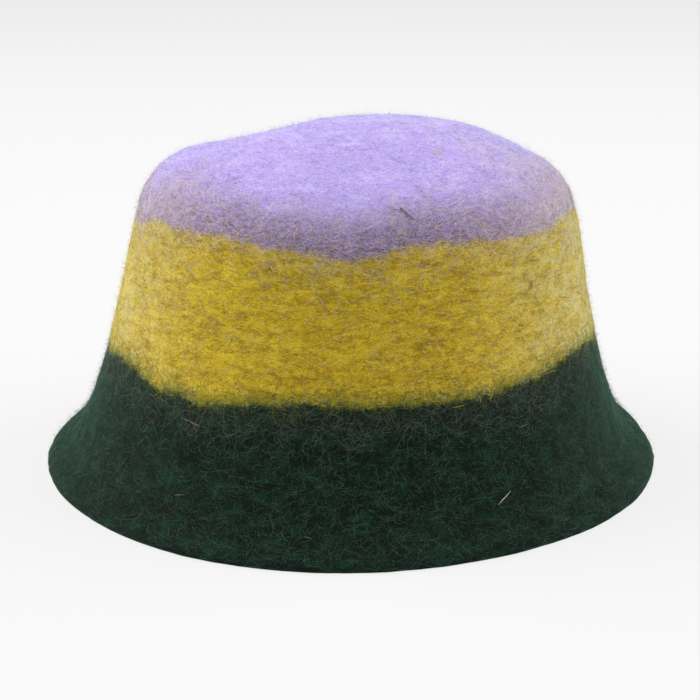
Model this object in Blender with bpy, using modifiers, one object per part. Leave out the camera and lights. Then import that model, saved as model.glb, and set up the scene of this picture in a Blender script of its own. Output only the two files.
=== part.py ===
"""A wet-felted wool bucket hat in one piece: a domed crown whose wall runs straight on into a flared brim.

The hat rests on its rim. The origin is on that surface, under the middle of the rim's box, +Z is up,
X runs along the hat's long axis and -Y is its front. Sizes are in metres.
"""

import math
from collections import namedtuple

import bpy
from mathutils import Vector

# Heights above the surface that the rim rests on
BRIM_HEIGHT = 0.0505
WALL_HEIGHT = 0.1015
HAT_HEIGHT = 0.1375

# Outside widths along X and depths along Y
RIM_WIDTH = 0.2520
RIM_DEPTH = 0.2460
CROWN_BASE_WIDTH = 0.1975
CROWN_BASE_DEPTH = 0.1885
WALL_TOP_WIDTH = 0.1757
WALL_TOP_DEPTH = 0.1657

# The felt, and the upright lip of its rounded edge, which leaves a flat strip to rest on
FELT_THICKNESS = 0.0030
EDGE_LIP = 0.0030
EDGE_ROUNDING = 0.0009

# How far the crown's top has settled towards +X of the rim's middle
CROWN_LEAN = 0.0018

# Mesh density: sides around the hat, rings down each stretch of the outline
SIDES = 64
TOP_RINGS = 12
WALL_RINGS = 7
BRIM_RINGS = 12
CURVE_STEPS = 16
EDGE_SEGMENTS = 2
EDGE_ANGLE_DEG = 75.0
MERGE_DISTANCE = 0.00001

# The outline of half a section, from the middle of the top down to the rim.
# rise is a share of its stretch's height, reach a share of its width.
Station = namedtuple("Station", "rise reach")

# rise from the wall's top to the middle of the crown, reach from the middle out to the wall's top
TOP_STATIONS = (
    Station(rise=1.00, reach=0.00),
    Station(rise=0.99, reach=0.14),
    Station(rise=0.94, reach=0.31),
    Station(rise=0.84, reach=0.48),
    Station(rise=0.72, reach=0.64),
    Station(rise=0.58, reach=0.80),
    Station(rise=0.45, reach=0.895),
    Station(rise=0.27, reach=0.96),
)

# rise from the crown's base to the wall's top, reach from the base in to the wall's top
WALL_STATIONS = (
    Station(rise=1.00, reach=1.00),
    Station(rise=0.50, reach=0.52),
)

# rise from the edge's lip to the crown's base, reach from the base out to the rim
BRIM_STATIONS = (
    Station(rise=1.00, reach=0.00),
    Station(rise=0.80, reach=0.10),
    Station(rise=0.60, reach=0.22),
    Station(rise=0.42, reach=0.35),
    Station(rise=0.26, reach=0.50),
    Station(rise=0.14, reach=0.65),
    Station(rise=0.06, reach=0.82),
    Station(rise=0.00, reach=1.00),
)

# Where the brim flares further out (positive) or less far (negative) than its oval.
# out is a share of the brim's overhang, spread_deg the angle over which the wave fades.
Wave = namedtuple("Wave", "name toward_deg spread_deg out")
BRIM_WAVES = (
    Wave(name="left_flare", toward_deg=185.0, spread_deg=32.0, out=0.03),
    Wave(name="front_left_swell", toward_deg=240.0, spread_deg=20.0, out=0.03),
    Wave(name="right_tuck", toward_deg=355.0, spread_deg=32.0, out=-0.04),
    Wave(name="front_right_tuck", toward_deg=298.0, spread_deg=22.0, out=-0.07),
    Wave(name="back_right_swell", toward_deg=40.0, spread_deg=30.0, out=0.08),
    Wave(name="back_left_tuck", toward_deg=140.0, spread_deg=34.0, out=-0.06),
)

# Soft hollows (positive depth) and swellings (negative) that handling leaves in the crown.
# along is the share of the outline's rings from the middle of the top, reach a share of the
# wall top's width, depth a share of the felt's thickness.
Dent = namedtuple("Dent", "name toward_deg along reach depth")
CROWN_DENTS = (
    Dent(name="back_left_slope", toward_deg=128.0, along=0.20, reach=0.26, depth=1.00),
    Dent(name="front_right_hollow", toward_deg=290.0, along=0.16, reach=0.16, depth=0.45),
    Dent(name="top_swell", toward_deg=60.0, along=0.12, reach=0.22, depth=-0.30),
    Dent(name="front_wall_hollow", toward_deg=262.0, along=0.56, reach=0.24, depth=0.50),
    Dent(name="back_wall_hollow", toward_deg=75.0, along=0.58, reach=0.26, depth=0.60),
    Dent(name="left_wall_swell", toward_deg=190.0, along=0.60, reach=0.20, depth=-0.30),
)

LAVENDER = (0.560, 0.450, 0.850, 1.0)
MUSTARD = (0.420, 0.290, 0.035, 1.0)
BOTTLE_GREEN = (0.014, 0.040, 0.025, 1.0)
WOOL_ROUGHNESS = 0.95


def clear_scene():
    for obj in list(bpy.data.objects):
        bpy.data.objects.remove(obj, do_unlink=True)


def wool(name, color):
    """A dull felted wool of one colour."""
    material = bpy.data.materials.new(name)
    material.use_nodes = True
    shader = material.node_tree.nodes["Principled BSDF"]
    shader.inputs["Base Color"].default_value = color
    shader.inputs["Roughness"].default_value = WOOL_ROUGHNESS
    shader.inputs["Metallic"].default_value = 0.0
    return material


def fade(share):
    """A smooth step from 0 to 1."""
    share = max(0.0, min(1.0, share))
    return share * share * (3 - 2 * share)


def above_lip(height, top):
    """0 up to the lip's height, so that the lip stays upright, then a smooth step to 1 at the top."""
    return fade((height - EDGE_LIP) / (top - EDGE_LIP))


def smooth_line(points, before, after):
    """A smooth curve through the points, which leaves and arrives as if it ran on to before and after."""
    guides = [Vector(point) for point in (before, *points, after)]
    curve = []
    for previous, start, end, following in zip(guides, guides[1:], guides[2:], guides[3:]):
        leave = (end - previous) / 2
        arrive = (following - start) / 2
        for step in range(CURVE_STEPS):
            s = step / CURVE_STEPS
            s2, s3 = s**2, s**3
            point = (2 * s3 - 3 * s2 + 1) * start + (3 * s2 - 2 * s3) * end
            curve.append(point + (s3 - 2 * s2 + s) * leave + (s3 - s2) * arrive)
    curve.append(guides[-2])
    return curve


def evenly_spaced(curve, rings):
    """rings + 1 points at equal distances along the curve."""
    travelled = [0.0]
    for a, b in zip(curve, curve[1:]):
        travelled.append(travelled[-1] + (b - a).length)
    spaced = []
    leg = 0
    for ring in range(rings + 1):
        target = travelled[-1] * ring / rings
        while leg < len(curve) - 2 and travelled[leg + 1] < target:
            leg += 1
        share = (target - travelled[leg]) / (travelled[leg + 1] - travelled[leg])
        spaced.append(curve[leg].lerp(curve[leg + 1], share))
    return spaced


def half_section():
    """The outline from the middle of the top down to the rim, as (half width, height) points."""
    base_half = CROWN_BASE_WIDTH / 2
    wall_top_half = WALL_TOP_WIDTH / 2
    rim_half = RIM_WIDTH / 2

    top = [
        (s.reach * wall_top_half, WALL_HEIGHT + s.rise * (HAT_HEIGHT - WALL_HEIGHT))
        for s in TOP_STATIONS
    ]
    wall = [
        (
            base_half + s.reach * (wall_top_half - base_half),
            BRIM_HEIGHT + s.rise * (WALL_HEIGHT - BRIM_HEIGHT),
        )
        for s in WALL_STATIONS
    ]
    brim = [
        (
            base_half + s.reach * (rim_half - base_half),
            EDGE_LIP + s.rise * (BRIM_HEIGHT - EDGE_LIP),
        )
        for s in BRIM_STATIONS
    ]

    # The curve is level across the middle of the top, and turns down into the lip.
    across_top = (-top[1][0], top[1][1])
    foot_of_lip = (rim_half, 0.0)
    top_line = smooth_line(top + wall[:1], before=across_top, after=wall[1])
    wall_line = smooth_line(wall + brim[:1], before=top[-1], after=brim[1])
    brim_line = smooth_line(brim, before=wall[-1], after=foot_of_lip)

    section = evenly_spaced(top_line, TOP_RINGS)[:-1]
    section += evenly_spaced(wall_line, WALL_RINGS)[:-1]
    section += evenly_spaced(brim_line, BRIM_RINGS)
    section.append(Vector(foot_of_lip))
    return section


def turned_hat(section):
    """The section turned into a round hat, as an open surface."""
    mesh = bpy.data.meshes.new("hat_section")
    corners = [(half_width, 0.0, height) for half_width, height in section]
    mesh.from_pydata(corners, [(i, i + 1) for i in range(len(corners) - 1)], [])
    blank = bpy.data.objects.new("hat_blank", mesh)
    bpy.context.scene.collection.objects.link(blank)
    turn = blank.modifiers.new("Turn", "SCREW")
    turn.axis = "Z"
    turn.steps = turn.render_steps = SIDES
    turn.use_merge_vertices = True
    turn.merge_threshold = MERGE_DISTANCE
    turn.use_smooth_shade = True
    graph = bpy.context.evaluated_depsgraph_get()
    round_hat = bpy.data.meshes.new_from_object(blank.evaluated_get(graph))
    round_hat.name = "felt_hat"
    bpy.data.objects.remove(blank)
    return round_hat


def depth_ratio(height):
    """Depth over width of the oval at this height."""
    rim = RIM_DEPTH / RIM_WIDTH
    base = CROWN_BASE_DEPTH / CROWN_BASE_WIDTH
    wall_top = WALL_TOP_DEPTH / WALL_TOP_WIDTH
    if height < BRIM_HEIGHT:
        return rim + (base - rim) * above_lip(height, BRIM_HEIGHT)
    return base + (wall_top - base) * fade((height - BRIM_HEIGHT) / (WALL_HEIGHT - BRIM_HEIGHT))


def placed(half_width, height, toward_deg):
    """The point of the oval, leaning hat at this place of the outline, in this direction."""
    toward = math.radians(toward_deg)
    x = half_width * math.cos(toward) + CROWN_LEAN * above_lip(height, HAT_HEIGHT)
    y = half_width * math.sin(toward) * depth_ratio(height)
    return Vector((x, y, height))


def waved(point):
    """The point moved out or in by the waves of the brim, which fade towards the crown."""
    toward_deg = math.degrees(math.atan2(point.y, point.x))
    overhang = (RIM_WIDTH - CROWN_BASE_WIDTH) / 2
    out = 0.0
    for wave in BRIM_WAVES:
        apart = (toward_deg - wave.toward_deg + 180.0) % 360.0 - 180.0
        out += wave.out * overhang * math.exp(-((apart / wave.spread_deg) ** 2))
    out *= 1.0 - above_lip(point.z, BRIM_HEIGHT)
    outward = Vector((point.x, point.y, 0.0))
    outward.normalize()
    return point + outward * out


def dented(points, normals, section):
    """The points with the crown's hollows and swellings pressed in along the surface."""
    pressed = [point.copy() for point in points]
    for dent in CROWN_DENTS:
        half_width, height = section[round(dent.along * (len(section) - 1))]
        middle = placed(half_width, height, dent.toward_deg)
        reach = dent.reach * WALL_TOP_WIDTH
        for i, point in enumerate(points):
            push = math.exp(-(((point - middle).length / reach) ** 2))
            push *= dent.depth * FELT_THICKNESS * above_lip(point.z, BRIM_HEIGHT)
            pressed[i] -= normals[i] * push
    return pressed


def centred(points):
    """The points moved over the surface, so that the middle of the rim's box is at the origin."""
    middle_x = (max(p.x for p in points) + min(p.x for p in points)) / 2
    middle_y = (max(p.y for p in points) + min(p.y for p in points)) / 2
    return [point - Vector((middle_x, middle_y, 0.0)) for point in points]


def shape_by_hand(mesh, section):
    """Makes the round hat oval, lets its crown lean, and gives it its waves and dents."""
    for vertex in mesh.vertices:
        half_width = math.hypot(vertex.co.x, vertex.co.y)
        toward_deg = math.degrees(math.atan2(vertex.co.y, vertex.co.x))
        vertex.co = waved(placed(half_width, vertex.co.z, toward_deg))
    mesh.update()
    points = [vertex.co.copy() for vertex in mesh.vertices]
    normals = [vertex.normal.copy() for vertex in mesh.vertices]
    points = centred(dented(points, normals, section))
    for vertex, point in zip(mesh.vertices, points):
        vertex.co = point
    mesh.update()


def colour_bands(mesh):
    """Green wool for the brim, mustard for the wall and lavender for the top of the crown."""
    mesh.materials.append(wool("bottle_green_wool", BOTTLE_GREEN))
    mesh.materials.append(wool("mustard_wool", MUSTARD))
    mesh.materials.append(wool("lavender_wool", LAVENDER))
    for face in mesh.polygons:
        face.material_index = (face.center.z > BRIM_HEIGHT) + (face.center.z > WALL_HEIGHT)


def felt_hat():
    section = half_section()
    mesh = turned_hat(section)
    shape_by_hand(mesh, section)
    colour_bands(mesh)
    hat = bpy.data.objects.new("felt_hat", mesh)

    thicken = hat.modifiers.new("Felt thickness", "SOLIDIFY")
    thicken.thickness = FELT_THICKNESS
    thicken.offset = -1.0
    thicken.use_even_offset = True

    soften = hat.modifiers.new("Rounded edge", "BEVEL")
    soften.width = EDGE_ROUNDING
    soften.segments = EDGE_SEGMENTS
    soften.limit_method = "ANGLE"
    soften.angle_limit = math.radians(EDGE_ANGLE_DEG)
    return hat


def main():
    clear_scene()
    collection = bpy.data.collections.new("felt_bucket_hat")
    bpy.context.scene.collection.children.link(collection)
    collection.objects.link(felt_hat())


main()
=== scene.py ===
"""Looks of the wet-felted wool bucket hat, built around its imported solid.

The felt body is one closed mesh. It follows the solid with its facets smoothed away. The crown's soft
swells and the small lumps of hand felting are pressed into it. The wool that lies on it and stands off it
is real geometry: thousands of fibres, joined into one piece for each kind of wool.

Lengths are in metres. Angles around the hat run from +X towards +Y, so the photo shows the side at 270
degrees.
"""

import math
from collections import namedtuple

import bpy
import numpy as np
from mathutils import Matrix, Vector, noise
from mathutils.bvhtree import BVHTree


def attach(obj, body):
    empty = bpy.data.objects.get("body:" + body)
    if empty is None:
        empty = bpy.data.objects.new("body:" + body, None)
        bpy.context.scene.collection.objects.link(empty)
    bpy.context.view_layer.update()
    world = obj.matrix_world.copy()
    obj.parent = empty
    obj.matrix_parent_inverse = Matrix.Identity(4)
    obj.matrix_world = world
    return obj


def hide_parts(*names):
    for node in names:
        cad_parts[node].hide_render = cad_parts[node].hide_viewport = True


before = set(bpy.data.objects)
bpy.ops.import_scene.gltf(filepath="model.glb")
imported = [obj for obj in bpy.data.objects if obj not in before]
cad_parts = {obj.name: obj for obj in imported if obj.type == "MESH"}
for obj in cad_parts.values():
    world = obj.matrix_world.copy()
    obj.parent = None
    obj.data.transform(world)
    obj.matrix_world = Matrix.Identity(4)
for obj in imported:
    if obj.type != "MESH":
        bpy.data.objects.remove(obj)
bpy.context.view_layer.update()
MM = 0.001
FULL_TURN = 2 * math.pi
TINY = 1e-12
WHITE = (1.0, 1.0, 1.0, 1.0)

# The photo's frame, and the camera that was fitted to the hat's outline in it
IMAGE_SIZE = 700
FOCAL_PIXELS = 1453.7
SENSOR_MM = 36.0
CAMERA_DISTANCE = 0.600
CAMERA_PITCH = math.radians(18.05)
CAMERA_AIM = Vector((-0.0005, 0.0, 0.0407))
CLIP_NEAR = 0.01
CLIP_FAR = 100.0

# How finely the solid is measured, and how far its facets are smoothed
MEASURED_TURNS = 384
MEASURED_RISES = 200
LOWEST_RISE = math.radians(0.6)
SMOOTH_TURN = math.radians(2.6)
SMOOTH_RISE = math.radians(1.0)
FAR_AWAY = 1.0

# The body's grid: columns go round the hat, rows from the pole to the rim. Rows near the pole have fewer
# columns, so that their faces stay wide enough.
COLUMNS = 448
OUTER_ROWS = 152
INNER_ROWS = 62
POLE_COLUMNS = 7
NARROWEST_FACE = 0.84 * MM
# The rounded rim: its rows, the step between them on the bake map, and how square it is
RIM_ROWS = 8
RIM_STEP = 0.6 * MM
RIM_SQUARENESS = 0.62
# Fibres near the pole turn as if they were this far from it
LEAST_RADIUS = 1.5 * MM
# The dense felt lies this far inside the solid's outer face, and the fuzz fills the rest
FUZZ_DEPTH = 0.7 * MM
# Layers of lumps: width of a lump, its height. The inner face takes its noise from another place.
LUMP_TABLE = (
    (13.0 * MM, 0.42 * MM),
    (5.5 * MM, 0.24 * MM),
    (2.6 * MM, 0.13 * MM),
)
INNER_NOISE_SHIFT = 50.0
# Soft swells and dents of the crown: centre, spread, and how far the felt stands out there
CROWN_SWELLS = (
    ((-0.0680, 0.0090, 0.1205), 13.0 * MM, 1.8 * MM),
    ((0.0470, 0.0180, 0.1305), 11.0 * MM, 1.8 * MM),
    ((-0.0370, 0.0120, 0.1299), 9.0 * MM, -1.3 * MM),
)

# The bake map: discs for the crown's top (centre, radius) and strips for the walls (corner, size)
DISC_REACH = 0.088
DISC_MARGIN = 2 * MM
OUTER_DISC = ((0.17, 0.83), 0.165)
INNER_DISC = ((0.90, 0.90), 0.095)
OUTER_STRIPS = ((0.004, 0.004, 0.992, 0.310), (0.004, 0.330, 0.992, 0.310))
INNER_STRIPS = ((0.36, 0.665, 0.43, 0.150), (0.36, 0.835, 0.43, 0.150))

# The edges between the colour bands: mean height, then bends (towards, spread, rise) and small waves.
# Directions and their spreads are in degrees.
GREEN_EDGE = 49.2 * MM
LAVENDER_EDGE = 102.3 * MM
GREEN_BENDS = (
    (191.0, 8.0, -1.8 * MM),
    (206.0, 8.0, 2.0 * MM),
    (219.0, 4.0, -1.2 * MM),
    (227.0, 4.0, 2.2 * MM),
    (231.0, 9.0, -4.3 * MM),
    (285.0, 25.0, 0.8 * MM),
    (317.0, 5.0, -1.2 * MM),
    (331.0, 15.0, 6.6 * MM),
    (120.0, 25.0, 2.5 * MM),
)
LAVENDER_BENDS = (
    (196.0, 12.0, -3.0 * MM),
    (211.0, 8.0, 4.0 * MM),
    (235.0, 9.0, 2.4 * MM),
    (270.0, 7.0, -2.2 * MM),
    (293.0, 9.0, 2.4 * MM),
    (320.0, 12.0, 0.8 * MM),
    (343.0, 8.0, 3.0 * MM),
    (60.0, 20.0, -2.5 * MM),
)
WAVE_COUNTS = (14, 23, 37, 58, 90)
WAVE_HEIGHT = 1.2 * MM
GREEN_EDGE_SEED = 11
LAVENDER_EDGE_SEED = 12

# Wool colours, linear
LAVENDER = (0.53, 0.42, 0.83)
LAVENDER_PALE = (0.64, 0.54, 0.88)
LAVENDER_DEEP = (0.45, 0.35, 0.76)
GREY_VIOLET = (0.23, 0.165, 0.22)
DUSK_VIOLET = (0.20, 0.135, 0.175)
CREAM = (0.68, 0.57, 0.45)
LILAC_GREY = (0.44, 0.38, 0.40)
TAUPE = (0.44, 0.37, 0.35)
MUSTARD = (0.68, 0.455, 0.015)
MUSTARD_BRIGHT = (0.82, 0.62, 0.035)
MUSTARD_DARK = (0.34, 0.235, 0.015)
AMBER = (0.70, 0.42, 0.012)
TAN = (0.50, 0.49, 0.28)
OLIVE_BROWN = (0.20, 0.14, 0.035)
UMBER = (0.19, 0.13, 0.10)
MOSS = (0.15, 0.19, 0.025)
BOTTLE_GREEN = (0.003, 0.012, 0.007)
GREEN_BRIGHT = (0.009, 0.044, 0.024)
# A lighter green. Where it gathers on two sides of the hat it is painted side light
GREEN_LIT = (0.016, 0.060, 0.035)
GREEN_BLACK = (0.003, 0.006, 0.005)
LEAF_GREEN = (0.042, 0.105, 0.065)
SAGE = (0.056, 0.096, 0.068)
SMOKE = (0.112, 0.130, 0.092)
SOOT = (0.020, 0.025, 0.017)
# Painted shade for the pits between the threads
PAINTED_PIT_SHADE = (0.004, 0.004, 0.004)

# The kinds of fibre. spread is how far their directions differ, curl bends a fibre steadily (per metre)
# and kink bends it at random. A lying fibre is lifted off the felt by up to low, or for a few by up to high.
Lying = namedtuple("Lying", "shortest longest thinnest widest spread curl kink low high few segments")
Standing = namedtuple("Standing", "shortest longest thinnest widest flattest steepest spread bend segments")
MATTED = Lying(3.0 * MM, 8.5 * MM, 0.06 * MM, 0.14 * MM, 0.60, 170.0, 0.22, 0.16 * MM, 0.5 * MM, 0.12, 3)
LOOSE = Lying(4.0 * MM, 11.0 * MM, 0.045 * MM, 0.105 * MM, 0.95, 230.0, 0.18, 0.3 * MM, 0.9 * MM, 0.2, 5)
FUZZ = Standing(0.8 * MM, 3.2 * MM, 0.04 * MM, 0.09 * MM, 0.5, 2.0, 0.6, 0.6, 2)
HAIR = Standing(2.5 * MM, 6.5 * MM, 0.035 * MM, 0.055 * MM, 0.2, 1.2, 0.6, 0.3, 6)
HAIR_SIDES = 3
# How a lying fibre is lifted between its ends: least lift, how soon it rises, waves, dip of the ends
LEAST_LIFT = 0.02 * MM
LIFT_CURVE = 0.6
LIFT_WAVE = 0.03 * MM
END_DIP = 0.05 * MM
LOWEST_LYING = 0.15 * MM
# How far a fibre is rolled, and how it thins towards its ends
MOST_ROLL = 0.7
END_WIDTH = 0.25
TAPER_CURVE = 0.5
HAIR_TIP = 0.3
# How deep standing fibres are rooted, their lowest root and lowest point, and how much they tend to be short
ROOT_DEPTH = 0.1 * MM
LOWEST_ROOT = 1.5 * MM
LOWEST_STANDING = 0.3 * MM
SHORTNESS = 1.4
# Keeps a hair's side from vanishing where the hair grows straight off the felt
SIDE_NUDGE = 0.01

# How many matted fibres lie outside and inside in each band, and how many others lie or stand outside
MATTED_COUNTS = {
    "lavender": (14500, 900),
    "mustard": (19000, 1100),
    "green": (18500, 1400),
}
LOOSE_COUNT = 19500
FUZZ_COUNTS = {"short_fuzz": 44000, "fine_fuzz": 20000}
HAIR_COUNT = 1700
# Matted fibres tried for each one kept, since those that stray too far over an edge are left out
SPARE_TRIES = 1.35
# How far fibres stray over a band's edge, and how much further on the greyer sides, where bands blend
SPILL = 1.0 * MM
SIDE_SPILL = 2.5
# Seeds of the random draws. Each further band or fuzz takes the next one.
BAND_SEED = 21
LOOSE_SEED = 31
FUZZ_SEED = 41
HAIR_SEED = 51
MARK_SEED = 52

# The dyes of each band's wool: name, colour, share near the band's edge and away from it, whether the dye
# gathers in the dark (-1) or the bright (1) patches, and how much more of it there is (or, below 0, less) on
# the greyer sides, or in green on the sides painted paler, which is painted side light. The edge meant is
# green's upper one and the lower one of the others.
DYES = {
    "lavender": (
        ("lavender", LAVENDER, 0.20, 0.40, 0, -0.4),
        ("lavender_pale", LAVENDER_PALE, 0.08, 0.36, 0.6, -0.2),
        ("lavender_deep", LAVENDER_DEEP, 0.18, 0.20, -0.6, -0.3),
        ("grey_violet", GREY_VIOLET, 0.24, 0.02, -1, 0.4),
        ("cream", CREAM, 0.36, 0.02, 1, 2.5),
    ),
    "mustard": (
        ("mustard", MUSTARD, 0.29, 0.27, 0, 0),
        ("mustard_bright", MUSTARD_BRIGHT, 0.30, 0.30, 1, 0),
        ("mustard_dark", MUSTARD_DARK, 0.20, 0.22, -1, 0),
        ("amber", AMBER, 0.07, 0.10, 0.6, -0.9),
        ("moss", MOSS, 0.34, 0.00, -1, 0),
        ("tan", TAN, 0.03, 0.06, 0.5, 5),
        ("lilac_grey", LILAC_GREY, 0.00, 0.01, -0.5, 15),
    ),
    "green": (
        ("bottle_green", BOTTLE_GREEN, 0.36, 0.36, 0, 0),
        # Lit green and sage gather on the sides painted paler: painted side light
        ("green_lit", GREEN_LIT, 0.10, 0.25, 1, 7),
        ("green_black", GREEN_BLACK, 0.36, 0.18, -1, 0),
        ("sage", SAGE, 0.05, 0.08, 1, 5),
        ("smoke", SMOKE, 0.11, 0.00, -1, 0),
    ),
}
# How far each band's edge wool reaches, and how much further lavender's does on the greyer sides
EDGE_REACH = {"lavender": 18 * MM, "mustard": 9 * MM, "green": 25 * MM}
GREY_REACH = 1.8
# The dark and bright patches: how wide, how flat, and how strongly the dyes gather in them
PATCH_WIDTH = 10 * MM
PATCH_FLATNESS = 3.0
PATCH_STRENGTH = 5.0

# The greyer sides, where more grey and tan wool is in lavender and mustard: towards, spread, how much
GREY_SIDES = (
    (342.0, 21.0, 1.0),
    (203.0, 14.0, 0.65),
    (95.0, 20.0, 0.5),
)
# The sides where the green is painted paler, as painted side light: more lit wool there
SIDES_PAINTED_LIT = (
    (353.0, 17.0, 0.5),
    (188.0, 17.0, 0.4),
)

# Loose wool that lies over the bands: name, colour, the band whose lower edge it is measured from, its
# lowest and highest place above that edge, and its share
LOOSE_WOOL = (
    ("loose_cream", CREAM, "lavender", -5 * MM, 14 * MM, 0.17),
    ("loose_tan", TAN, "lavender", -5 * MM, 17 * MM, 0.05),
    ("loose_haze", LILAC_GREY, "lavender", -14 * MM, -1 * MM, 0.05),
    ("loose_umber", UMBER, "lavender", -2 * MM, 4 * MM, 0.03),
    ("loose_violet", GREY_VIOLET, "lavender", -3 * MM, 14 * MM, 0.03),
    ("loose_yellow", (0.84, 0.66, 0.10), "mustard", 3 * MM, 54 * MM, 0.07),
    ("loose_lilac", LILAC_GREY, "mustard", 15 * MM, 56 * MM, 0.01),
    ("loose_brown", OLIVE_BROWN, "mustard", -1 * MM, 54 * MM, 0.04),
    ("loose_moss", MOSS, "mustard", -1 * MM, 6 * MM, 0.09),
    ("loose_green", (0.022, 0.050, 0.030), "mustard", -1 * MM, 6 * MM, 0.03),
    ("loose_sage", SAGE, "mustard", -70 * MM, 1 * MM, 0.21),
    ("loose_leaf", LEAF_GREEN, "mustard", -70 * MM, -3 * MM, 0.09),
    ("loose_smoke", SMOKE, "mustard", -13 * MM, 1 * MM, 0.13),
)
# Short fuzz all over: name, band, colour and share within the band
FUZZ_WOOL = (
    ("fuzz_lavender", "lavender", (0.72, 0.66, 0.86), 0.5),
    ("fuzz_grey", "lavender", (0.70, 0.65, 0.66), 0.5),
    ("fuzz_straw", "mustard", (0.76, 0.67, 0.20), 0.5),
    ("fuzz_pale", "mustard", (0.71, 0.72, 0.50), 0.5),
    ("fuzz_green", "green", (0.028, 0.140, 0.076), 0.7),
    ("fuzz_sage", "green", (0.070, 0.180, 0.120), 0.3),
)
# Standing hairs: name, band and colour
HAIR_WOOL = (
    ("hair_lavender", "lavender", (0.66, 0.60, 0.86)),
    ("hair_mustard", "mustard", (0.70, 0.62, 0.30)),
    ("hair_green", "green", (0.075, 0.125, 0.09)),
)

# Stray hairs and flecks that the photo shows: name, colour, width, and the photo pixels they run through
STRAY_MARKS = (
    ("stray_dark", (0.13, 0.105, 0.15), 0.95 * MM, ((400, 208), (404, 212), (408, 216), (413, 221))),
    ("stray_dark_head", (0.09, 0.085, 0.05), 0.8 * MM, ((399, 209), (401, 210), (403, 212))),
    ("stray_dark_tail", (0.20, 0.16, 0.22), 0.35 * MM, ((389, 211), (394, 210), (399, 211))),
    ("stray_straw", (0.62, 0.51, 0.52), 1.9 * MM, ((432, 153), (437, 154), (442, 155))),
    ("stray_rust", (0.25, 0.13, 0.035), 1.1 * MM, ((531, 280), (531, 285), (529, 291))),
    ("stray_rust_fleck", (0.36, 0.23, 0.07), 0.7 * MM, ((534, 286), (537, 285), (540, 283))),
    ("stray_pale_right", (0.62, 0.65, 0.60), 0.24 * MM, ((498, 505), (502, 500), (506, 496), (510, 491))),
    ("stray_pale_left", (0.46, 0.48, 0.45), 0.17 * MM, ((183, 418), (190, 421), (196, 424), (201, 426))),
    ("stray_pale_side", (0.14, 0.17, 0.15), 0.32 * MM, ((517, 427), (522, 426), (527, 424))),
    ("stray_pale_low", (0.16, 0.20, 0.17), 0.28 * MM, ((175, 496), (180, 495), (186, 495))),
    ("stray_pale_middle", (0.12, 0.15, 0.13), 0.30 * MM, ((304, 537), (308, 538), (312, 539))),
)
STRAY_LIFT = 0.55 * MM

# The body's noises: how flat their blobs are, the size of a blob, then detail, roughness and distortion
NOISES = {
    "threads": (1.8, 0.8 * MM, 3.0, 0.65, 1.5),
    "strands": (3.0, 3.0 * MM, 4.0, 0.65, 1.2),
    "streaks": (3.0, 9.0 * MM, 4.0, 0.60, 0.6),
    "tufts": (1.0, 3.2 * MM, 4.0, 0.65, 1.0),
}
# The body's blends: from and to which value each one runs, and its share at the start and at the end
BLENDS = {
    "lavender": (0.36, 0.66, 0.0, 1.0),
    "lavender_pale": (0.48, 0.74, 0.0, 0.8),
    "lavender_low": (0.10, 1.0, 1.0, 0.0),
    "lavender_grey": (0.35, 0.62, 1.0, 0.45),
    "mustard": (0.34, 0.64, 0.0, 1.0),
    "mustard_bright": (0.44, 0.66, 0.0, 0.6),
    "mustard_brown": (0.44, 0.30, 0.0, 0.5),
    "mustard_tan": (0.35, 0.60, 0.1, 0.75),
    "green": (0.36, 0.66, 0.0, 1.0),
    "green_bright": (0.45, 0.72, 0.0, 0.7),
    "green_soot": (-14 * MM, -2 * MM, 0.0, 0.4),
    "moss_border": (0.5 * MM, 5 * MM, 0.7, 0.0),
    "green_edge": (-1.5 * MM, 1.5 * MM, 0.0, 1.0),
    "lavender_edge": (-2.0 * MM, 2.0 * MM, 0.0, 1.0),
    # Painted shade: how dark the pits between the threads are made
    "painted_pit_shade": (0.30, 0.60, 0.5, 0.0),
    "roughness": (0.2, 0.8, 0.88, 1.0),
}
NOISE_MEAN = 0.5
# How far the felt's green turns to lit green on the sides painted paler: painted side light
PAINTED_SIDE_LIGHT_SHARE = 0.7
# How far the tufts make the bands' edges ragged, and the bumps of strands and threads
RAGGEDNESS = 7 * MM
STRAND_BUMP = 1.4
BUMP_STRENGTH = 0.3
BUMP_DEPTH = 0.2 * MM

# Gloss and sheen. A fibre's sheen has the fibre's own colour, paled.
SPECULAR = 0.15
FELT_ROUGHNESS = 0.95
FELT_SHEEN = (0.45, 0.20, (0.42, 0.95, 0.60))
FIBRE_ROUGHNESS = 0.9
FIBRE_SHEEN = (1.0, 0.18)
SHEEN_PALING = 0.26

# The floor: half its width, its colour, and its own glow from near the hat outwards, which is painted light
FLOOR_REACH = 12.0
FLOOR_ROUGHNESS = 0.8
FLOOR_COLOUR = (0.15, 0.15, 0.15)
FLOOR_GLOW = (0.3, 2.5, 0.72, 0.61)

# The lights: soft suns (name, strength, spread, tilt from straight above, turn round the hat, in degrees),
# a square panel above the hat, and the white surroundings
SUNS = (
    ("overhead", 0.65, 90, 10, 90),
    ("left_side", 3.5, 60, 66, 167),
    ("right_side", 2.8, 60, 66, 13),
)
PANEL_POWER = 3.5
PANEL_SIZE = 1.2
PANEL_HEIGHT = 1.2
SURROUND_STRENGTH = 0.30


def gauss_weights(sigma):
    """Offsets and weights of a smoothing kernel, sigma in grid steps."""
    offsets = np.arange(-math.ceil(3 * sigma), math.ceil(3 * sigma) + 1)
    weights = np.exp(-0.5 * (offsets / sigma) ** 2)
    return offsets, weights / weights.sum()


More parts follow.
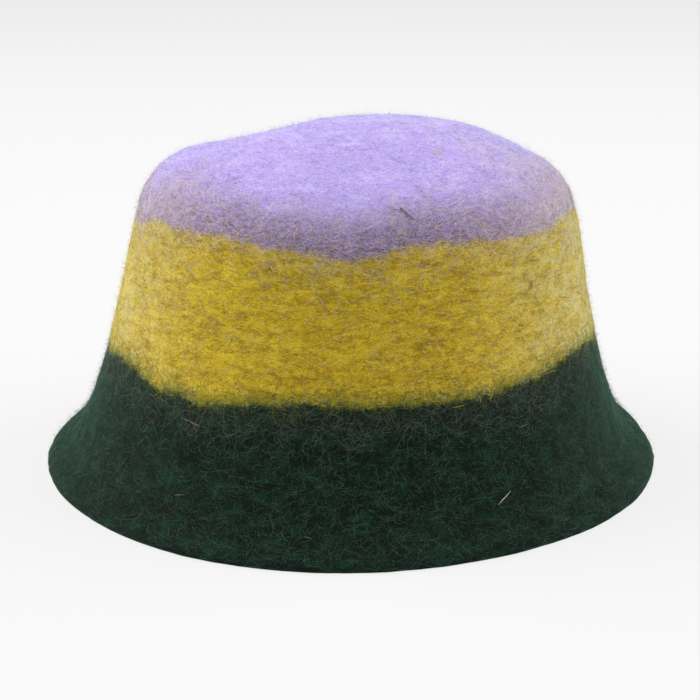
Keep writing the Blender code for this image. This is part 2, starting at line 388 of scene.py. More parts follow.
def smoothed(reach):
    """The measured distances with the solid's flat facets rounded away."""
    offsets, weights = gauss_weights(SMOOTH_TURN * MEASURED_TURNS / FULL_TURN)
    reach = sum(w * np.roll(reach, o, axis=1) for o, w in zip(offsets, weights))
    offsets, weights = gauss_weights(SMOOTH_RISE * (MEASURED_RISES - 1) / (math.pi / 2 - LOWEST_RISE))
    margin = int(offsets[-1])
    past_pole = np.roll(reach[margin:0:-1], MEASURED_TURNS // 2, axis=1)
    past_rim = 2 * reach[-1] - reach[-2:-2 - margin:-1]
    padded = np.vstack([past_pole, reach, past_rim])
    return sum(w * padded[margin + o:margin + o + MEASURED_RISES] for o, w in zip(offsets, weights))


def measured_points(outside):
    """Points on the solid's outer or inner face: rows from the pole to just above the rim."""
    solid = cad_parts["felt_hat"].data
    tree = BVHTree.FromPolygons([v.co for v in solid.vertices], [p.vertices for p in solid.polygons])
    turns = np.arange(MEASURED_TURNS) * FULL_TURN / MEASURED_TURNS
    rises = np.linspace(math.pi / 2, LOWEST_RISE, MEASURED_RISES)
    aims = np.stack([
        np.cos(rises)[:, None] * np.cos(turns),
        np.cos(rises)[:, None] * np.sin(turns),
        np.repeat(np.sin(rises)[:, None], MEASURED_TURNS, axis=1),
    ], axis=2)
    reach = np.empty(aims.shape[:2])
    for row in range(MEASURED_RISES):
        for column in range(MEASURED_TURNS):
            aim = Vector(aims[row, column])
            start, toward = (aim * FAR_AWAY, -aim) if outside else (Vector(), aim)
            reach[row, column] = tree.ray_cast(start, toward)[0].length
    return aims * smoothed(reach)[..., None]


def even_grid(points, rows):
    """The same surface with rows at equal distances from the pole to the rim, and COLUMNS columns."""
    steps = np.linalg.norm(np.diff(points, axis=0), axis=2)
    along = np.vstack([np.zeros(MEASURED_TURNS), np.cumsum(steps, axis=0)])
    shares = np.linspace(0, 1, rows)
    grid = np.empty((rows, MEASURED_TURNS, 3))
    for column in range(MEASURED_TURNS):
        wanted = shares * along[-1, column]
        for axis in range(3):
            grid[:, column, axis] = np.interp(wanted, along[:, column], points[:, column, axis])
    turned = np.arange(COLUMNS) * MEASURED_TURNS / COLUMNS
    first = turned.astype(int)
    part = (turned - first)[None, :, None]
    return grid[:, first] * (1 - part) + grid[:, (first + 1) % MEASURED_TURNS] * part


def grid_normals(grid, outside):
    """Unit normals of a grid of points, pointing away from the felt."""
    down = np.gradient(grid, axis=0)
    around = np.roll(grid, -1, axis=1) - np.roll(grid, 1, axis=1)
    normals = np.cross(down[1:], around[1:])
    normals /= np.linalg.norm(normals, axis=2, keepdims=True)
    pole = np.broadcast_to((0.0, 0.0, 1.0), (1, COLUMNS, 3))
    normals = np.concatenate([pole, normals])
    return normals if outside else -normals


def lumps(points, layer):
    """How far the felt stands out at each point, from layers of soft noise."""
    flat = points.reshape(-1, 3)
    heights = np.zeros(len(flat))
    for width, height in LUMP_TABLE:
        shift = Vector((layer, width / MM, 0.0))
        heights += [height * noise.noise(Vector(p) / width + shift) for p in flat]
    return heights.reshape(points.shape[:-1])


def swells(points):
    """How far the crown's soft swells push out the felt at each point."""
    heights = np.zeros(points.shape[:-1])
    for centre, spread, height in CROWN_SWELLS:
        off = np.linalg.norm(points - centre, axis=-1)
        heights += height * np.exp(-0.5 * (off / spread) ** 2)
    return heights


class Skin:
    """One face of the felt: a grid of points with their normals, and its length from pole to rim."""

    def __init__(self, outside, rows):
        plain = even_grid(measured_points(outside), rows)
        normals = grid_normals(plain, outside)
        layer = 0.0 if outside else INNER_NOISE_SHIFT
        push = swells(plain) - FUZZ_DEPTH if outside else 0.0
        self.points = plain + normals * (lumps(plain, layer) + push)[..., None]
        self.points[0] = self.points[0].mean(axis=0)
        self.normals = grid_normals(self.points, outside)
        self.length = np.linalg.norm(np.diff(plain, axis=0), axis=2).sum(axis=0).mean()
        self.ring_radius = np.linalg.norm(plain[..., :2], axis=2).mean(axis=1)

    def at(self, angle, along):
        """Points and normals on the skin, at angles around it and distances from its pole."""
        rows, columns = self.points.shape[:2]
        row = np.clip(along / self.length, 0, 1) * (rows - 1)
        column = (angle / FULL_TURN % 1) * columns
        upper = np.minimum(row.astype(int), rows - 2)
        before = column.astype(int) % columns
        after = (before + 1) % columns
        down = (row - upper)[..., None]
        across = (column - np.floor(column))[..., None]
        found = []
        for field in (self.points, self.normals):
            above = field[upper, before] * (1 - across) + field[upper, after] * across
            below = field[upper + 1, before] * (1 - across) + field[upper + 1, after] * across
            found.append(above * (1 - down) + below * down)
        return found[0], found[1] / np.linalg.norm(found[1], axis=-1, keepdims=True)

    def radius(self, along):
        """The mean distance from the hat's axis, at distances from the pole."""
        row = along / self.length * (len(self.ring_radius) - 1)
        rings = np.arange(len(self.ring_radius))
        return np.maximum(np.interp(row, rings, self.ring_radius), LEAST_RADIUS)


def angle_of(points):
    """The angle of points around the hat."""
    return np.arctan2(points[..., 1], points[..., 0])


def fading(angle, toward, spread):
    """1 towards a direction, fading to 0 away from it."""
    off = np.degrees(np.angle(np.exp(1j * (angle - math.radians(toward)))))
    return np.exp(-0.5 * (off / spread) ** 2)


def edge_height(angle, mean, bends, seed):
    """The height of the edge between two colour bands, at angles around the hat."""
    height = np.full(np.shape(angle), mean)
    for toward, spread, rise in bends:
        height = height + rise * fading(angle, toward, spread)
    phases = np.random.default_rng(seed).uniform(0, FULL_TURN, len(WAVE_COUNTS))
    for count, phase in zip(WAVE_COUNTS, phases):
        height = height + WAVE_HEIGHT / math.sqrt(count) * np.sin(count * angle + phase)
    return height


def above_green(points):
    """How far points are above the edge between green and mustard."""
    return points[..., 2] - edge_height(angle_of(points), GREEN_EDGE, GREEN_BENDS, GREEN_EDGE_SEED)


def above_mustard(points):
    """How far points are above the edge between mustard and lavender."""
    edge = edge_height(angle_of(points), LAVENDER_EDGE, LAVENDER_BENDS, LAVENDER_EDGE_SEED)
    return points[..., 2] - edge


def on_sides(sides, points):
    """0 to 1, how far points are on some of the hat's sides, by their angle around it."""
    angle = angle_of(points)
    share = np.zeros(angle.shape)
    for toward, spread, most in sides:
        share = np.maximum(share, most * fading(angle, toward, spread))
    return share


def band_of(points):
    """The colour band that each point is in."""
    lower = np.where(above_green(points) > 0, "mustard", "green")
    return np.where(above_mustard(points) > 0, "lavender", lower)


def from_edge(band, points):
    """0 at a band's edge, rising to 1 away from it. On the greyer sides lavender rises more slowly."""
    if band != "lavender":
        return np.clip(np.abs(above_green(points)) / EDGE_REACH[band], 0, 1)
    reach = EDGE_REACH[band] * (1 + (GREY_REACH - 1) * on_sides(GREY_SIDES, points))
    return np.clip(above_mustard(points) / reach, 0, 1)


def new_piece(name, points, faces, materials, shares=None):
    """A smooth-shaded mesh piece that rides on the hat's one body."""
    mesh = bpy.data.meshes.new(name)
    mesh.from_pydata(points.tolist(), [], faces.tolist())
    for material in materials:
        mesh.materials.append(material)
    if shares is not None:
        mesh.polygons.foreach_set("material_index", shares.astype(np.int32))
    mesh.polygons.foreach_set("use_smooth", np.ones(len(faces), bool))
    mesh.update()
    piece = bpy.data.objects.new(name, mesh)
    bpy.context.scene.collection.objects.link(piece)
    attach(piece, "root")
    return piece


def ring_columns(row, rows, length, most):
    """How many columns a row keeps, so that the faces near the pole don't shrink to slivers."""
    count = most
    distance = row / (rows - 1) * length
    while count > POLE_COLUMNS and FULL_TURN * distance / count < NARROWEST_FACE:
        count //= 2
    return count


def ring_faces(upper, lower):
    """Triangles between two rings of vertices, where the lower ring may have twice as many."""
    after = np.roll(upper, -1)
    if len(upper) == len(lower):
        lower_after = np.roll(lower, -1)
        corners = ((upper, lower, lower_after), (upper, lower_after, after))
    else:
        even, odd = lower[0::2], lower[1::2]
        corners = ((upper, even, odd), (upper, odd, after), (after, odd, np.roll(even, -1)))
    return np.concatenate([np.stack(triangle, axis=1) for triangle in corners])


def rim_rows(outer, inner):
    """The rounded lower edge between the last outer and the last inner row, flat where it rests."""
    middle, half = (outer + inner) / 2, (outer - inner) / 2
    rows = []
    for turn in np.linspace(0, math.pi, RIM_ROWS + 2)[1:-1]:
        row = middle + half * math.copysign(abs(math.cos(turn)) ** RIM_SQUARENESS, math.cos(turn))
        row[:, 2] *= 1 - math.sin(turn) ** RIM_SQUARENESS
        rows.append(row)
    return rows


def felt_body(outer, inner, material):
    """The felt wall as one closed mesh: outer face, rounded rim and inner face."""
    points, rings, marks = [], [], []
    count = 0

    def add_ring(row_points, along, is_inner):
        """Keeps one ring of points, and where each lies: turn, distance from the pole, and face."""
        nonlocal count
        points.append(row_points)
        rings.append(np.arange(count, count + len(row_points)))
        turns = np.arange(len(row_points)) / len(row_points)
        marks.append(np.stack([turns, np.full(len(turns), along), np.full(len(turns), is_inner)], axis=1))
        count += len(row_points)

    for row in range(1, OUTER_ROWS):
        columns = ring_columns(row, OUTER_ROWS, outer.length, COLUMNS)
        add_ring(outer.points[row, ::COLUMNS // columns], row / (OUTER_ROWS - 1) * outer.length, 0.0)
    for step, row_points in enumerate(rim_rows(outer.points[-1], inner.points[-1])):
        add_ring(row_points, outer.length + (step + 1) * RIM_STEP, 0.0)
    for row in range(INNER_ROWS - 1, 0, -1):
        columns = ring_columns(row, INNER_ROWS, inner.length, COLUMNS // 2)
        add_ring(inner.points[row, ::COLUMNS // columns], row / (INNER_ROWS - 1) * inner.length, 1.0)
    faces = []
    for first, second in zip(rings, rings[1:]):
        if len(first) <= len(second):
            faces.append(ring_faces(first, second))
        else:
            faces.append(ring_faces(second, first)[:, ::-1])
    poles = []
    for pole, ring in ((outer.points[0, 0], rings[0]), (inner.points[0, 0], rings[-1])):
        fan = np.stack([np.full(len(ring), count + len(poles)), ring, np.roll(ring, -1)], axis=1)
        faces.append(fan if not poles else fan[:, ::-1])
        poles.append(pole)
        marks.append(np.array([[0.0, 0.0, float(len(poles) - 1)]]))
    points = np.concatenate([*points, np.array(poles)])
    points[:, 2] = np.maximum(points[:, 2], 0.0)
    faces = np.concatenate(faces)
    body = new_piece("felt_body", points, faces, [material])
    set_point_values(body, "above_green", above_green(points))
    set_point_values(body, "above_mustard", above_mustard(points))
    set_point_values(body, "in_lavender", from_edge("lavender", points))
    set_point_values(body, "greyness", on_sides(GREY_SIDES, points))
    # Where the green is painted paler on two sides, as painted side light
    set_point_values(body, "painted_side_light", on_sides(SIDES_PAINTED_LIT, points))
    set_bake_map(body, np.concatenate(marks)[faces], outer.length + RIM_ROWS * RIM_STEP)
    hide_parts("felt_hat")
    return body


def set_point_values(piece, name, values):
    """A number for each point, which the material reads."""
    attribute = piece.data.attributes.new(name, "FLOAT", "POINT")
    attribute.data.foreach_set("value", values.astype(np.float32))


def set_bake_map(body, corners, length):
    """Lays the body's faces out flat: the crown's top in discs, the walls in half-turn strips."""
    turn, along, inside = corners[..., 0], corners[..., 1], corners[:, 0, 2] > 0.5
    near_pole = along.mean(axis=1) < DISC_REACH
    turn = np.where((turn.max(axis=1, keepdims=True) - turn) > 0.5, turn + 1, turn)
    place = np.empty(corners.shape[:2] + (2,))
    for is_inner, disc, strips in ((False, OUTER_DISC, OUTER_STRIPS), (True, INNER_DISC, INNER_STRIPS)):
        chosen = near_pole & (inside == is_inner)
        centre, radius = disc
        spoke = along[chosen] / (DISC_REACH + DISC_MARGIN) * radius
        place[chosen, :, 0] = centre[0] + spoke * np.cos(FULL_TURN * turn[chosen])
        place[chosen, :, 1] = centre[1] + spoke * np.sin(FULL_TURN * turn[chosen])
        half = turn.mean(axis=1) % 1 >= 0.5
        for second_half, (left, low, width, height) in zip((False, True), strips):
            chosen = ~near_pole & (inside == is_inner) & (half == second_half)
            share = (turn[chosen] - (0.5 if second_half else 0.0)) * 2
            place[chosen, :, 0] = left + share * width
            rise = (length - along[chosen]) / (length - DISC_REACH + DISC_MARGIN)
            place[chosen, :, 1] = low + rise * height
    layer = body.data.uv_layers.new(name="OFBake")
    layer.data.foreach_set("uv", place.reshape(-1).astype(np.float32))


class Shader:
    """A Principled material and short ways to add nodes to it."""

    def __init__(self, name, roughness):
        self.material = bpy.data.materials.new(name)
        self.material.use_nodes = True
        self.tree = self.material.node_tree
        self.surface = self.tree.nodes["Principled BSDF"]
        self.surface.inputs["Roughness"].default_value = roughness
        self.surface.inputs["Specular IOR Level"].default_value = SPECULAR

    def sheen(self, weight, roughness, tint):
        """Gives the surface a soft sheen of one tint."""
        self.surface.inputs["Sheen Weight"].default_value = weight
        self.surface.inputs["Sheen Roughness"].default_value = roughness
        self.surface.inputs["Sheen Tint"].default_value = (*tint, 1.0)

    def feed(self, socket, value):
        """Links a node's output to a socket, or sets the socket's own value."""
        if isinstance(value, bpy.types.NodeSocket):
            self.tree.links.new(value, socket)
        elif socket.type == "RGBA" and len(value) == 3:
            socket.default_value = (*value, 1.0)
        else:
            socket.default_value = value

    def node(self, kind, inputs, **settings):
        """A new node with its inputs fed and its settings made."""
        made = self.tree.nodes.new(kind)
        for name, value in settings.items():
            setattr(made, name, value)
        for name, value in inputs.items():
            self.feed(made.inputs[name], value)
        return made

    def value(self, name):
        """A number that the mesh carries for each point."""
        return self.node("ShaderNodeAttribute", {}, attribute_name=name).outputs["Fac"]

    def stretched(self, place, scale):
        """Places scaled along each axis, which squeezes a noise there."""
        return self.node("ShaderNodeMapping", {"Vector": place, "Scale": scale}).outputs["Vector"]

    def noise(self, place, size, detail, roughness, distortion):
        """Soft random values around 0.5, in blobs about size across."""
        inputs = {"Vector": place, "Scale": 1 / size, "Detail": detail, "Roughness": roughness,
                  "Distortion": distortion}
        return self.node("ShaderNodeTexNoise", inputs).outputs["Fac"]

    def ramp(self, value, low, high, to_low, to_high):
        """A smooth change from to_low to to_high as value goes from low to high."""
        inputs = {"Value": value, "From Min": low, "From Max": high, "To Min": to_low, "To Max": to_high}
        made = self.node("ShaderNodeMapRange", inputs, interpolation_type="SMOOTHSTEP")
        return made.outputs["Result"]

    def blend(self, name, value):
        """One of the body's blends, at a value."""
        return self.ramp(value, *BLENDS[name])

    def math(self, operation, first, second):
        """The result of a sum, difference or product."""
        return self.node("ShaderNodeMath", {0: first, 1: second}, operation=operation).outputs["Value"]

    def mix(self, share, first, second):
        """first where share is 0, second where it is 1. 0, 6 and 7 are the node's share and colours."""
        inputs = {0: share, 6: first, 7: second}
        return self.node("ShaderNodeMix", inputs, data_type="RGBA").outputs[2]


def felt_material():
    """Wet-felted wool in three bands, with mottled tints, matted fibres and blended edges, and painted shade
    in the pits between the threads.
    """
    s = Shader("wool_felt_body", FELT_ROUGHNESS)
    s.sheen(*FELT_SHEEN)
    place = s.node("ShaderNodeTexCoord", {}).outputs["Object"]
    threads, strands, streaks, tufts = (
        s.noise(s.stretched(place, (1.0, 1.0, flatness)), *shape) for flatness, *shape in NOISES.values()
    )
    ragged = s.math("MULTIPLY", s.math("SUBTRACT", tufts, NOISE_MEAN), RAGGEDNESS)
    over_green = s.math("ADD", s.value("above_green"), ragged)
    over_mustard = s.math("ADD", s.value("above_mustard"), ragged)

    lavender = s.mix(s.blend("lavender", strands), LAVENDER_DEEP, LAVENDER)
    lavender = s.mix(s.blend("lavender_pale", streaks), lavender, LAVENDER_PALE)
    low_down = s.blend("lavender_low", s.value("in_lavender"))
    greyed = s.math("MULTIPLY", low_down, s.blend("lavender_grey", strands))
    lavender = s.mix(greyed, lavender, s.mix(s.value("greyness"), DUSK_VIOLET, TAUPE))

    mustard = s.mix(s.blend("mustard", strands), MUSTARD_DARK, MUSTARD)
    mustard = s.mix(s.blend("mustard_bright", streaks), mustard, MUSTARD_BRIGHT)
    mustard = s.mix(s.blend("mustard_brown", streaks), mustard, OLIVE_BROWN)
    tanned = s.math("MULTIPLY", s.value("greyness"), s.blend("mustard_tan", streaks))
    mustard = s.mix(tanned, mustard, TAN)

    green = s.mix(s.blend("green", strands), GREEN_BLACK, BOTTLE_GREEN)
    green = s.mix(s.blend("green_bright", streaks), green, GREEN_BRIGHT)
    # Painted side light: the green turns towards lit green on two sides
    green = s.mix(s.math("MULTIPLY", s.value("painted_side_light"), PAINTED_SIDE_LIGHT_SHARE), green, GREEN_LIT)
    green = s.mix(s.blend("green_soot", over_green), green, SOOT)

    bordered = s.mix(s.blend("moss_border", over_green), mustard, MOSS)
    colour = s.mix(s.blend("green_edge", over_green), green, bordered)
    colour = s.mix(s.blend("lavender_edge", over_mustard), colour, lavender)
    # The pits between the threads are darkened: painted shade
    s.feed(s.surface.inputs["Base Color"], s.mix(s.blend("painted_pit_shade", threads), colour, PAINTED_PIT_SHADE))
    s.feed(s.surface.inputs["Roughness"], s.blend("roughness", threads))
    height = s.math("ADD", threads, s.math("MULTIPLY", strands, STRAND_BUMP))
    bump_inputs = {"Height": height, "Strength": BUMP_STRENGTH, "Distance": BUMP_DEPTH}
    bump = s.node("ShaderNodeBump", bump_inputs)
    s.feed(s.surface.inputs["Normal"], bump.outputs["Normal"])
    return s.material


def wool_material(name, colour):
    """One dye of loose wool. Each fibre is thinner than a pixel, so it has one colour from end to end."""
    if name in bpy.data.materials:
        return bpy.data.materials[name]
    s = Shader(name, FIBRE_ROUGHNESS)
    s.sheen(*FIBRE_SHEEN, [channel ** SHEEN_PALING for channel in colour])
    s.surface.inputs["Base Color"].default_value = (*colour, 1.0)
    return s.material


def lying(rng, kind, skin, angle, along):
    """Fibres of a kind that wander over the skin from their roots, mostly around the hat."""
    count = len(angle)
    length = rng.uniform(kind.shortest, kind.longest, count)
    heading = angle + rng.choice((-1, 1), count) * math.pi / 2 + rng.normal(0, kind.spread, count)
    bend = rng.normal(0, kind.curl, count)
    move = length / kind.segments
    angles, distances = [angle], [along]
    for _ in range(kind.segments):
        outward = heading - angle
        angle = angle + move * np.sin(outward) / skin.radius(along)
        along = along + move * np.cos(outward)
        angle = np.where(along < 0, angle + math.pi, angle)
        along = np.abs(along)
        heading = heading + bend * move + rng.normal(0, kind.kink, count) * np.sqrt(move / MM)
        angles.append(angle)
        distances.append(along)
    return skin.at(np.stack(angles, axis=1), np.minimum(np.stack(distances, axis=1), skin.length))


def unit(vectors):
    """Vectors brought to length 1."""
    return vectors / np.maximum(np.linalg.norm(vectors, axis=-1, keepdims=True), TINY)


def ribbons(rng, points, normals, width):
    """Narrow strips along rows of points, tapered at both ends and rolled a little."""
    tangents = unit(np.gradient(points, axis=1))
    side = unit(np.cross(tangents, normals))
    roll = rng.uniform(-MOST_ROLL, MOST_ROLL, len(points))[:, None, None]
    side = side * np.cos(roll) + normals * np.sin(roll)
    share = np.linspace(0, 1, points.shape[1])
    taper = END_WIDTH + (1 - END_WIDTH) * np.sin(math.pi * share) ** TAPER_CURVE
    half = side * (width[:, None] * taper / 2)[..., None]
    corners = np.stack([points - half, points + half], axis=2)
    count, steps = points.shape[:2]
    first = (np.arange(count)[:, None] * steps + np.arange(steps - 1)) * 2
    faces = np.stack([first, first + 1, first + 3, first + 2], axis=-1)
    return corners.reshape(-1, 3), faces.reshape(-1, 4)


def laid(rng, kind, points, normals):
    """Ribbons along rows of points, lifted off the felt between their ends, which dip into it."""
    count = len(points)
    share = np.linspace(0, 1, points.shape[1])
    high = np.where(rng.uniform(size=count) < kind.few, kind.high, kind.low)
    lift = rng.uniform(LEAST_LIFT, high)[:, None] * np.sin(math.pi * share) ** LIFT_CURVE
    wave = rng.normal(0, LIFT_WAVE, lift.shape)
    lifted = points + normals * (lift + wave - END_DIP)[..., None]
    lifted[..., 2] = np.maximum(lifted[..., 2], LOWEST_LYING)
    return ribbons(rng, lifted, normals, rng.uniform(kind.thinnest, kind.widest, count))


def scattered(rng, skin, count, accepts):
    """Roots spread evenly over the felt where accepts, given their points, says so."""
    angles, distances = [], []
    found = 0
    while found < count:
        angle = rng.uniform(0, FULL_TURN, 4 * count)
        along = rng.uniform(0, skin.length, 4 * count)
        fair = rng.uniform(0, skin.ring_radius.max(), 4 * count) < skin.radius(along)
        angle, along = angle[fair], along[fair]
        kept = accepts(skin.at(angle, along)[0])
        angles.append(angle[kept])
        distances.append(along[kept])
        found += int(kept.sum())
    return np.concatenate(angles)[:count], np.concatenate(distances)[:count]


def depth_in_band(band, points):
    """How far inside its colour band each point is, negative outside it."""
    if band == "lavender":
        return above_mustard(points)
    if band == "green":
        return -above_green(points)
    return np.minimum(above_green(points), -above_mustard(points))


def band_roots(rng, skin, band, count, margin):
    """Roots spread evenly over one colour band, at least margin inside it."""
    return scattered(rng, skin, count, lambda points: depth_in_band(band, points) > margin)


def chosen_dyes(rng, band, roots):
    """The dye of each fibre, by how far its root is from the band's edge and by the patch it is in."""
    near, far, lean, side = (np.array([row[column] for row in DYES[band]]) for column in (2, 3, 4, 5))
    share = from_edge(band, roots)[:, None]
    flat = (1 / PATCH_WIDTH, 1 / PATCH_WIDTH, PATCH_FLATNESS / PATCH_WIDTH)
    patch = np.array([noise.noise(Vector(root)) for root in roots * flat])[:, None]
    weight = (near * (1 - share) + far * share) * np.exp(PATCH_STRENGTH * lean * patch)
    # In green, the side gain paints light on the sides painted paler
    sides = SIDES_PAINTED_LIT if band == "green" else GREY_SIDES
    weight = weight * (1 + side * on_sides(sides, roots)[:, None])
    rising = np.cumsum(weight, axis=1)
    return (rng.uniform(size=(len(roots), 1)) * rising[:, -1:] > rising).sum(axis=1)


def joined(parts):
    """Several lots of points and faces as one."""
    points, faces = [], []
    count = 0
    for lot_points, lot_faces in parts:
        points.append(lot_points)
        faces.append(lot_faces + count)
        count += len(lot_points)
    return np.concatenate(points), np.concatenate(faces)


def band_fibres(band, seed, outer, inner):
    """The matted wool of one colour band, outside and inside. Few fibres cross its edges, and not far."""
    rng = np.random.default_rng(seed)
    lots, dyes = [], []
    for skin, count in zip((outer, inner), MATTED_COUNTS[band]):
        tries = int(count * SPARE_TRIES)
        angle, along = band_roots(rng, skin, band, tries, -SPILL)
        points, normals = lying(rng, MATTED, skin, angle, along)
        spill = rng.exponential(SPILL, tries) * (1 + SIDE_SPILL * on_sides(GREY_SIDES, points[:, 0]))
        kept = np.flatnonzero(depth_in_band(band, points).min(axis=1) > -spill)[:count]
        lots.append(laid(rng, MATTED, points[kept], normals[kept]))
        dyes.append(chosen_dyes(rng, band, points[kept, 0]))
    points, faces = joined(lots)
    materials = [wool_material("wool_" + row[0], row[1]) for row in DYES[band]]
    shares = np.repeat(np.concatenate(dyes), MATTED.segments)
    return new_piece(band + "_fibres", points, faces, materials, shares)


def loose_fibres(seed, outer):
    """Long curly fibres of the neighbouring wools that lie over the bands."""
    rng = np.random.default_rng(seed)
    lots, dyes = [], []
    for index, (_, _, edge, low, high, share) in enumerate(LOOSE_WOOL):
        count = int(LOOSE_COUNT * share)
        height_above = above_mustard if edge == "lavender" else above_green
        angle, along = scattered(
            rng, outer, count, lambda points: (height_above(points) > low) & (height_above(points) < high))
        points, normals = lying(rng, LOOSE, outer, angle, along)
        lots.append(laid(rng, LOOSE, points, normals))
        dyes.append(np.full(count * LOOSE.segments, index))
    points, faces = joined(lots)
    materials = [wool_material("wool_" + row[0], row[1]) for row in LOOSE_WOOL]
    return new_piece("loose_fibres", points, faces, materials, np.concatenate(dyes))


def standing(rng, kind, outer, count):
    """Rows of points that grow off the felt, with their normals, in a kind of fibre."""
    angle, along = scattered(rng, outer, count, lambda points: points[..., 2] > LOWEST_ROOT)
    root, normal = outer.at(angle, along)
    length = kind.shortest + (kind.longest - kind.shortest) * rng.uniform(size=count) ** SHORTNESS
    rise = rng.uniform(kind.flattest, kind.steepest, (count, 1))
    heading = unit(normal * rise + rng.normal(0, kind.spread, (count, 3)))
    steady = rng.normal(0, kind.bend, (count, 3))
    points = [root - normal * ROOT_DEPTH]
    for _ in range(kind.segments):
        points.append(points[-1] + heading * (length / kind.segments)[:, None])
        heading = unit(heading + steady + rng.normal(0, kind.bend / 2, (count, 3)))
    points = np.stack(points, axis=1)
    points[..., 2] = np.maximum(points[..., 2], LOWEST_STANDING)
    return points, normal


def short_fuzz(name, seed, outer):
    """Short fuzz all over, which pales and softens the felt where it is seen from the side."""
    rng = np.random.default_rng(seed)
    count = FUZZ_COUNTS[name]
    points, normal = standing(rng, FUZZ, outer, count)
    width = rng.uniform(FUZZ.thinnest, FUZZ.widest, count)
    corners, faces = ribbons(rng, points, np.repeat(normal[:, None], FUZZ.segments + 1, axis=1), width)
    bands = band_of(points[:, 0])
    pick = rng.uniform(size=count)
    dye = np.zeros(count, int)
    for band in DYES:
        first, second = (i for i, row in enumerate(FUZZ_WOOL) if row[1] == band)
        inside = bands == band
        dye[inside] = np.where(pick[inside] < FUZZ_WOOL[first][3], first, second)
    materials = [wool_material("wool_" + row[0], row[2]) for row in FUZZ_WOOL]
    return new_piece(name, corners, faces, materials, np.repeat(dye, FUZZ.segments))


def tubes(points, side, other, width):
    """Three-sided tubes along rows of points, thinning to their tips."""
    count, steps = points.shape[:2]
    taper = np.linspace(1.0, HAIR_TIP, steps)
    radius = width[:, None] / 2 * taper
    turns = FULL_TURN * np.arange(HAIR_SIDES) / HAIR_SIDES
    ring = side[:, :, None] * np.cos(turns)[:, None] + other[:, :, None] * np.sin(turns)[:, None]
    corners = points[:, :, None] + ring * radius[..., None, None]
    first = (np.arange(count)[:, None, None] * steps + np.arange(steps - 1)[:, None]) * HAIR_SIDES
    near = first + np.arange(HAIR_SIDES)
    after = first + (np.arange(HAIR_SIDES) + 1) % HAIR_SIDES
    walls = np.stack([near, after, after + HAIR_SIDES, near + HAIR_SIDES], axis=-1)
    return corners.reshape(-1, 3), walls.reshape(-1, 4)


def standing_hairs(seed, outer):
    """Longer fine hairs that stand off the felt and curl."""
    rng = np.random.default_rng(seed)
    points, normal = standing(rng, HAIR, outer, HAIR_COUNT)
    tangents = unit(np.gradient(points, axis=1))
    side = unit(np.cross(tangents, normal[:, None] + SIDE_NUDGE))
    width = rng.uniform(HAIR.thinnest, HAIR.widest, HAIR_COUNT)
    corners, faces = tubes(points, side, np.cross(tangents, side), width)
    names = [row[1] for row in HAIR_WOOL]
    dye = np.array([names.index(band) for band in band_of(points[:, 0])])
    materials = [wool_material("wool_" + row[0], row[2]) for row in HAIR_WOOL]
    return new_piece("standing_hairs", corners, faces, materials, np.repeat(dye, HAIR.segments * HAIR_SIDES))


def stray_marks(seed, body, camera):
    """The stray hairs and flecks, laid on the felt where the photo's pixels look at it."""
    rng = np.random.default_rng(seed)
    bpy.context.view_layer.update()
    mesh = body.data
    tree = BVHTree.FromPolygons([v.co for v in mesh.vertices], [p.vertices for p in mesh.polygons])
    turn = camera.rotation_euler.to_matrix()
    lots, dyes = [], []
    for index, (_, _, width, pixels) in enumerate(STRAY_MARKS):
        places, normals = [], []
        for x, y in pixels:
            aim = turn @ Vector((x - IMAGE_SIZE / 2, IMAGE_SIZE / 2 - y, -FOCAL_PIXELS)).normalized()
            place, normal = tree.ray_cast(camera.location, aim)[:2]
            places.append(place + normal * STRAY_LIFT)
            normals.append(normal)
        places, normals = np.array([places]), np.array([normals])
        lots.append(ribbons(rng, places, normals, np.array([width])))
        dyes.append(np.full(len(pixels) - 1, index))
    points, faces = joined(lots)
    materials = [wool_material(row[0], row[1]) for row in STRAY_MARKS]
    return new_piece("stray_marks", points, faces, materials, np.concatenate(dyes))


def glowing_floor():
    """A wide plain floor that the hat stands on. It glows, most near the hat, so it takes hardly any shadow:
    painted light.
    """
    mesh = bpy.data.meshes.new("floor")
    corners = [(x * FLOOR_REACH, y * FLOOR_REACH, 0) for x, y in ((-1, -1), (1, -1), (1, 1), (-1, 1))]
    mesh.from_pydata(corners, [], [(0, 1, 2, 3)])
    floor = bpy.data.objects.new("floor", mesh)
    bpy.context.scene.collection.objects.link(floor)
    s = Shader("glowing_floor", FLOOR_ROUGHNESS)
    s.surface.inputs["Base Color"].default_value = (*FLOOR_COLOUR, 1.0)
    s.surface.inputs["Emission Color"].default_value = WHITE
    place = s.node("ShaderNodeTexCoord", {}).outputs["Object"]
    away = s.node("ShaderNodeVectorMath", {0: place}, operation="LENGTH").outputs["Value"]
    # Painted light: the floor glows, brighter near the hat, which hides the hat's shadow
    s.feed(s.surface.inputs["Emission Strength"], s.ramp(away, *FLOOR_GLOW))
    mesh.materials.append(s.material)


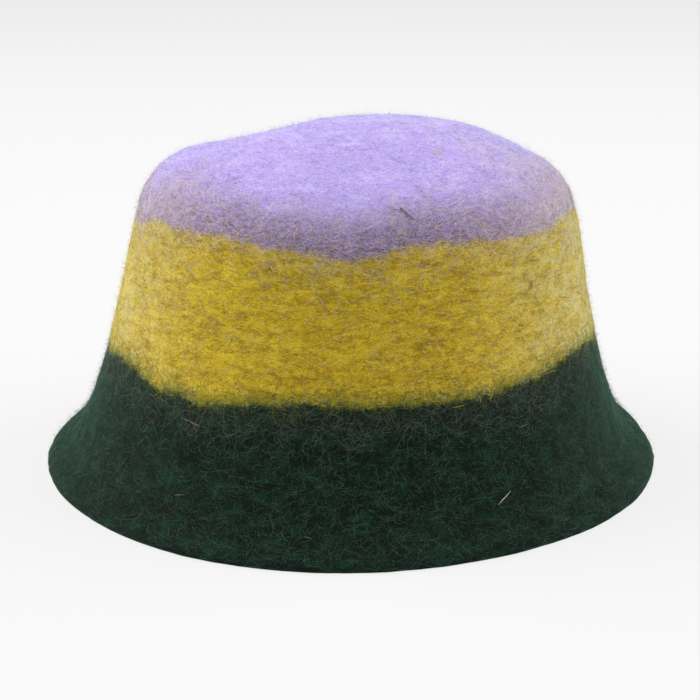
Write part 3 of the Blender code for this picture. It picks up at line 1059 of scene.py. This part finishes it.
def soft_sun(name, strength, spread, tilt, turn):
    """A wide soft light from far away: tilt is its angle from straight above, turn that round the hat."""
    light = bpy.data.lights.new(name, "SUN")
    light.energy = strength
    light.angle = math.radians(spread)
    lamp = bpy.data.objects.new(name, light)
    tilt, turn = math.radians(tilt), math.radians(turn)
    toward = Vector((math.sin(tilt) * math.cos(turn), math.sin(tilt) * math.sin(turn), math.cos(tilt)))
    lamp.rotation_euler = toward.to_track_quat("Z", "Y").to_euler()
    lamp.location = toward
    bpy.context.scene.collection.objects.link(lamp)


def overhead_panel():
    """A square soft light above the hat, which leaves the far floor a little darker."""
    light = bpy.data.lights.new("overhead_panel", "AREA")
    light.energy = PANEL_POWER
    light.size = PANEL_SIZE
    lamp = bpy.data.objects.new("overhead_panel", light)
    lamp.location = (0.0, 0.0, PANEL_HEIGHT)
    bpy.context.scene.collection.objects.link(lamp)


def studio():
    """White surroundings and soft light, mostly from above and from both sides."""
    scene = bpy.context.scene
    world = bpy.data.worlds.new("white_studio")
    world.use_nodes = True
    background = world.node_tree.nodes["Background"]
    background.inputs["Color"].default_value = WHITE
    background.inputs["Strength"].default_value = SURROUND_STRENGTH
    scene.world = world
    for sun in SUNS:
        soft_sun(*sun)
    overhead_panel()
    scene.view_settings.view_transform = "Standard"
    scene.view_settings.look = "None"


def photo_camera():
    """The camera at the photo's place and angle."""
    camera = bpy.data.cameras.new("photo_camera")
    camera.sensor_width = SENSOR_MM
    camera.lens = SENSOR_MM * FOCAL_PIXELS / IMAGE_SIZE
    camera.clip_start = CLIP_NEAR
    camera.clip_end = CLIP_FAR
    holder = bpy.data.objects.new("photo_camera", camera)
    toward = Vector((0.0, math.cos(CAMERA_PITCH), -math.sin(CAMERA_PITCH)))
    holder.location = CAMERA_AIM - toward * CAMERA_DISTANCE
    holder.rotation_euler = toward.to_track_quat("-Z", "Y").to_euler()
    bpy.context.scene.collection.objects.link(holder)
    bpy.context.scene.camera = holder
    return holder


camera = photo_camera()
studio()
glowing_floor()
outer_skin = Skin(True, OUTER_ROWS)
inner_skin = Skin(False, INNER_ROWS)
body = felt_body(outer_skin, inner_skin, felt_material())
for seed, band in enumerate(DYES, start=BAND_SEED):
    band_fibres(band, seed, outer_skin, inner_skin)
loose_fibres(LOOSE_SEED, outer_skin)
for seed, name in enumerate(FUZZ_COUNTS, start=FUZZ_SEED):
    short_fuzz(name, seed, outer_skin)
standing_hairs(HAIR_SEED, outer_skin)
stray_marks(MARK_SEED, body, camera)
